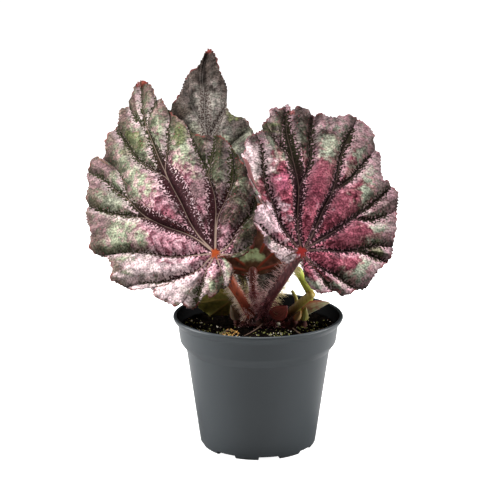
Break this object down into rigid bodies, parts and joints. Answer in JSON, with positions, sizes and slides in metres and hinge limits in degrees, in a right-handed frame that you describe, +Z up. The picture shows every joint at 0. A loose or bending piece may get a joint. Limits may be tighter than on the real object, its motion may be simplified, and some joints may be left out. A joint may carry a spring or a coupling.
{
  "type": "potted rex begonia",
  "caption": "House plant with broad toothed and pleated leaves, silver and pink with dark veins, on hairy stalks from a rhizome in peat, in a round grey plastic nursery pot.",
  "frame": {"origin": "middle of the pot's underside, on the surface it stands on", "axes": "+Z up, -Y towards the front that the two big leaves face, +X to the right seen from the front"},
  "size_m": [0.2221, 0.1844, 0.2685],
  "materials": {
    "pot_plastic": "grey thermoformed plastic, soft satin",
    "peat": "dark crumbly peat with perlite and moss",
    "rhizome_skin": "dark brown hairy skin",
    "blade_left": "silver and pink leaf with dark speckled veins",
    "blade_right": "pink and silver leaf with near black veins",
    "blade_back": "silver grey leaf with brown specks",
    "blade_young": "olive green underside with red veins",
    "stalk_red": "red, juicy and hairy",
    "stalk_purple": "dark purple brown, hairy",
    "stalk_green": "yellow green to olive, smooth",
    "bract": "thin papery bract, red to cream"
  },
  "bodies": {
    "root": {"pot": "pot_plastic", "soil": "peat", "rhizome": "rhizome_skin", "leaf_left_blade": "blade_left", "leaf_left_stalk": "stalk_red", "leaf_right_blade": "blade_right", "leaf_right_stalk": "stalk_purple", "leaf_back_blade": "blade_back", "leaf_back_stalk": "stalk_green", "leaf_centre_blade": "blade_young", "leaf_centre_stalk": "stalk_red", "leaf_low_blade": "blade_young", "leaf_low_stalk": "stalk_green", "cut_stalk": "stalk_green", "old_stalk": "stalk_green", "shoot": "stalk_green", "stipule_red": "bract", "stipule_green": "bract", "stipule_cream": "bract", "stipule_low": "bract", "young_leaf": "blade_young"}
  },
  "joints": []
}
